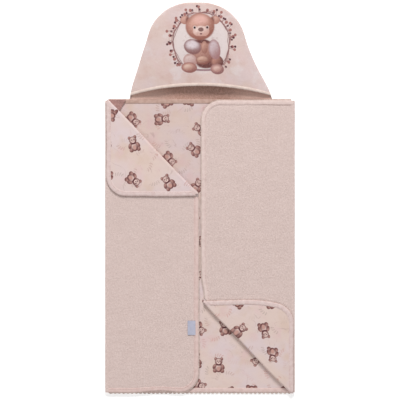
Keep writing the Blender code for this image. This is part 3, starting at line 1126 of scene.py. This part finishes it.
def make_wing(side):
    """One flap, its turned-back corner, and the rolls that join them."""
    cloths, trim = [], []
    for part, body in ((FLAP, f"{word(side)}_flap"), (CORNER, f"{word(side)}_corner")):
        terry = wing_cloth(f"{body}_terry_cloth", side, part, "terry", terry_face)
        lining = wing_cloth(f"{body}_print_cloth", side, part, "lining", print_face)
        run = edge_run(side, part)
        tape_look = PALE_TAPE_LOOK if part == CORNER else FLAP_TAPE_LOOKS[side]
        scallops, layer, edging_look, thread_look = WING_TRIM[part]
        tape = tape_along(f"{body}_tape", run, tape_look)
        edging = scallops_along(f"{body}_scallops", run, scallops, edging_look)
        row = stitches_along(f"{body}_stitches", run, layer, thread_look)
        for piece, slot, node in (
            (terry, "terry", f"{body}_terry"),
            (lining, "printed_cotton", f"{body}_lining"),
            (tape, "binding_tape", f"{body}_binding"),
            (edging, "scalloped_edging", f"{body}_edging"),
            (row, "binding_tape", None),
        ):
            join_to(piece, (body,), node)
        if side == LEFT and part == CORNER:
            for piece in (terry, lining, tape, edging, row):
                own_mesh(piece)
        cloths.append((terry, lining))
        trim.append([tape, edging, row])
    trim[0] += side_rolls(side)
    trim[1] += turn_rolls(side)
    return cloths, trim


# ---------------------------------------------------------------- the hood

RIM = 0.0065
RIM_Z = 0.0026
HOOD_TOP = 0.0062
HOOD_STEPS = 46
PILE_INSET = 0.0045
PILE = 0.0018
MOUTH_INSETS = (0.0058, 0.0052, 0.002, -0.0002, -0.0008, -0.0002, 0.002, 0.0052, 0.0058)
MOUTH_RISES = (0.0001, 0.0006, 0.0008, 0.0003, -0.0016, -0.0034, -0.0042, -0.004, -0.0036)
MOUTH_BEAD = 0.0042


def lean(h):
    """The hood lies a little askew, pulled to the left above its mouth."""
    t = unit(h / 0.13)
    return 0.0024 - 0.0112 * t * (1 + t - t * t)


def hood_half(h):
    slope = HOOD_HALF_WIDTH - 0.38 * h
    crown = np.sqrt(np.clip(1 - (0.997 * h / HOOD_HEIGHT) ** 13, 0.02, 1))
    full = 0.0045 * bump_at(h, 0.172, 0.03) + 0.004 * bump_at(h, 0.025, 0.035)
    return slope * crown + full + 0.003 * np.sin(math.pi * unit(h / HOOD_HEIGHT))


def mouth_height(a):
    return 0.0092 + 0.0222 * (1 - np.abs(a) ** 2.2)


def rim_distance(a, h):
    return np.maximum(np.minimum((1 - np.abs(a)) * hood_half(h), HOOD_HEIGHT - h), 0)


def rounding(distance):
    t = unit(1 - distance / RIM)
    return np.sqrt(unit(1 - t * t))


def dome(a, h):
    rise = unit((h - 0.008) / (HOOD_HEIGHT - 0.008))
    soft = (1 - np.abs(a) ** 3) ** 0.8
    wander = 1 + 0.1 * np.sin(9 * a + 21 * h) + 0.07 * np.sin(5 * a - 37 * h + 1.0)
    return 0.0122 * soft * (1 - rise**3) * wander


def front_face(a, h):
    return RIM_Z + (HOOD_TOP - RIM_Z) * rounding(rim_distance(a, h)) + dome(a, h)


def back_face(a, h):
    return RIM_Z * (1 - rounding(rim_distance(a, h)))


def hood_cloth(name, span, start, face, thickness, outward, material, inset=0.0):
    """A ply of the hood. start gives where its lower edge lies, face how high it lies."""
    columns = HOOD_STEPS * 2 if span[0] * span[1] < 0 else HOOD_STEPS
    piece = flat_grid(name, (span[0], 0.0), (span[1], 1.0), columns, HOOD_STEPS)

    def spread(q, b):
        a = np.sin(q * math.pi / 2)
        h = start(a) + (HOOD_HEIGHT - inset - start(a)) * np.sin(b * math.pi / 2)
        return a * (1 - inset / hood_half(h)), h

    def place(q, b):
        a, h = spread(q, b)
        return lean(h) + a * hood_half(h), NECK_Y + h, face(a, h)

    def flat(q, b):
        a, h = spread(q, b)
        return a * hood_half(h), h

    return lay_cloth(piece, place, flat, None, thickness, outward, material, 60)


def tape_flat(s, q):
    return s * HOOD_HALF_WIDTH, q * 0.016


def make_hood():
    def neck(a):
        return -0.0035

    outer = hood_cloth("hood_back_print", (-1, 1), neck, back_face, COTTON, down, HOOD_PRINT_LOOK)
    join_to(
        outer, ("back_panel", "hood_back"), "hood_back_outer"
    )

    def back_terry_face(a, h):
        return 0.0027 + 0.0006 * np.sin(11 * a + 31 * h) * (h > 0.004)

    terry = hood_cloth(
        "hood_back_pile", (-1, 1), neck, back_terry_face, PILE, up, HOOD_TERRY_LOOK, PILE_INSET
    )
    join_to(terry, ("back_panel", "hood_back"), "hood_back_terry")
    declare(outer)
    declare(terry)
    for side in (LEFT, RIGHT):
        span = (-1, 0) if side == LEFT else (0, 1)
        bodies = ("hood_back", "hood_front")
        name = f"hood_{word(side)}_print"
        front = hood_cloth(name, span, mouth_height, front_face, COTTON, up, HOOD_PRINT_LOOK)
        pile = hood_cloth(
            f"hood_{word(side)}_pile",
            span,
            mouth_height,
            lambda a, h: np.maximum(front_face(a, h) - 0.0034, 0.0032),
            PILE,
            down,
            HOOD_TERRY_LOOK,
            PILE_INSET,
        )
        nodes = (
            ("hood_front_outer", "hood_front_terry", "hood_mouth_binding")
            if side == LEFT
            else (None, None, None)
        )

        def tape_place(s, q):
            a = np.sin(s * math.pi / 2)
            steps = np.linspace(0, 1, len(MOUTH_RISES))
            h = mouth_height(a) + np.interp(q, steps, MOUTH_INSETS)
            beads = 0.0005 * np.abs(np.sin(s * HOOD_HALF_WIDTH / MOUTH_BEAD * math.pi))
            h = h - beads * np.exp(-(((q - 0.5) / 0.15) ** 2))
            z = front_face(a, h) + np.interp(q, steps, MOUTH_RISES)
            return lean(h) + a * hood_half(h), NECK_Y + h, np.maximum(z, 0.0031)

        name = f"hood_{word(side)}_mouth_tape"
        tape = flat_grid(name, (span[0], 0.0), (span[1], 1.0), 170, 20)
        lay_cloth(tape, tape_place, tape_flat, None, TAPE, None, CREAM_LOOK, 60)
        slots = ("printed_cotton", "terry", "cream_binding")
        for piece, node, slot in zip((front, pile, tape), nodes, slots):
            join_to(piece, bodies, node)
        declare(front)
        declare(pile)


def make_label():
    """A blank satin loop, folded double and caught in the seam."""
    x_low, y_low = LABEL_LOW[:2]
    x_high, y_high = LABEL_HIGH[:2]
    width = x_high - x_low
    piece = flat_grid("side_label_loop", (0.0, y_low), (1.0, y_high), 30, 12)
    base = 2 * FOLD_Z + 0.0004

    def place(t, y):
        turn = unit((t - 0.45) / 0.1) * math.pi
        out = np.where(t < 0.45, t / 0.45, np.where(t > 0.55, (1 - t) / 0.45, 1.0))
        x = x_high - out * width - 0.0004 * np.sin(turn)
        curl = 0.0007 * out**2 + 0.0005 * np.sin((y - y_low) * 90) * out
        return x, y, base + 0.0005 - 0.0003 * np.cos(turn) + curl

    def flat(t, y):
        return 2 * width * t, y - y_low

    lay_cloth(piece, place, flat, 0, 0.0003, None, SATIN_LOOK, 60)
    join_to(piece, ("left_flap",), "side_label")
    declare(piece)


def make_tuck():
    """A bit of pile that shows where the neck's tape turns in under the left fold. Its dark colour
    is painted shade, for pile seen in the shadow inside the fold.
    """
    low, high = (-FOLD_X + 0.001, HALF_LENGTH - 0.027), (-0.174, HALF_LENGTH - 0.0012)
    piece = flat_grid("left_neck_tuck", low, high, 30, 18)
    slanted = ((-0.19, HALF_LENGTH - 0.027), (0.86, -0.5))
    diagonal = ((-FOLD_X, DIAGONAL + 0.0005), (-HALF_TURN, -HALF_TURN))
    cut_to(piece, [slanted, diagonal])

    def place(u, v):
        return u, BODY_Y + v, 0.0062 + 0.0008 * np.sin((u + v) * 160)

    lay_cloth(piece, place, back_flat, None, 0.0012, up, SHADED_TUCK_LOOK)
    join_to(piece, ("back_panel",))
    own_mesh(piece)
    return piece


back_terry, back_print, back_trim = make_back()
back_trim.append(make_tuck())
declare(back_terry)
declare(back_print)
for side in (LEFT, RIGHT):
    cloths, trims = make_wing(side)
    (flap_terry, flap_print), (corner_terry, corner_print) = cloths
    declare(flap_print)
    declare(flap_terry)
    declare(corner_terry)
    declare(corner_print)
make_hood()
make_label()

# ---------------------------------------------------------------- stage

select_none()
bpy.ops.mesh.primitive_plane_add(size=8, location=(0, 0, -0.0006))
floor = bpy.context.object
floor.name = "floor"
floor_look = Look("pale_floor", roughness=0.9)
floor_look.shader.inputs["Base Color"].default_value = (0.9, 0.9, 0.9, 1)
floor_look.shader.inputs["Emission Color"].default_value = (1, 1, 1, 1)
floor_look.shader.inputs["Emission Strength"].default_value = 0.35
floor.data.materials.append(floor_look.material)


def area_light(name, place, size, power, target=(0, 0, 0)):
    data = bpy.data.lights.new(name, "AREA")
    data.shape = "DISK"
    data.size = size
    data.energy = power
    light = bpy.data.objects.new(name, data)
    bpy.context.scene.collection.objects.link(light)
    light.location = place
    light.rotation_euler = (Vector(target) - Vector(place)).to_track_quat("-Z", "Y").to_euler()


area_light("key", (0.3, 4.3, 2.95), 2.0, 247)
area_light("fill", (-0.8, -2.6, 2.4), 2.4, 34)
world = bpy.data.worlds.new("studio")
world.use_nodes = True
background = world.node_tree.nodes["Background"]
background.inputs["Color"].default_value = (1, 1, 1, 1)
background.inputs["Strength"].default_value = 0.36
bpy.context.scene.world = world
bpy.context.scene.view_settings.view_transform = "Standard"

CAMERA_HEIGHT = 3.0
VIEW_WIDTH = 0.951
camera_data = bpy.data.cameras.new("camera")
camera_data.lens = camera_data.sensor_width * CAMERA_HEIGHT / VIEW_WIDTH
camera = bpy.data.objects.new("camera", camera_data)
bpy.context.scene.collection.objects.link(camera)
camera.location = (0, -0.0045, CAMERA_HEIGHT)
bpy.context.scene.camera = camera
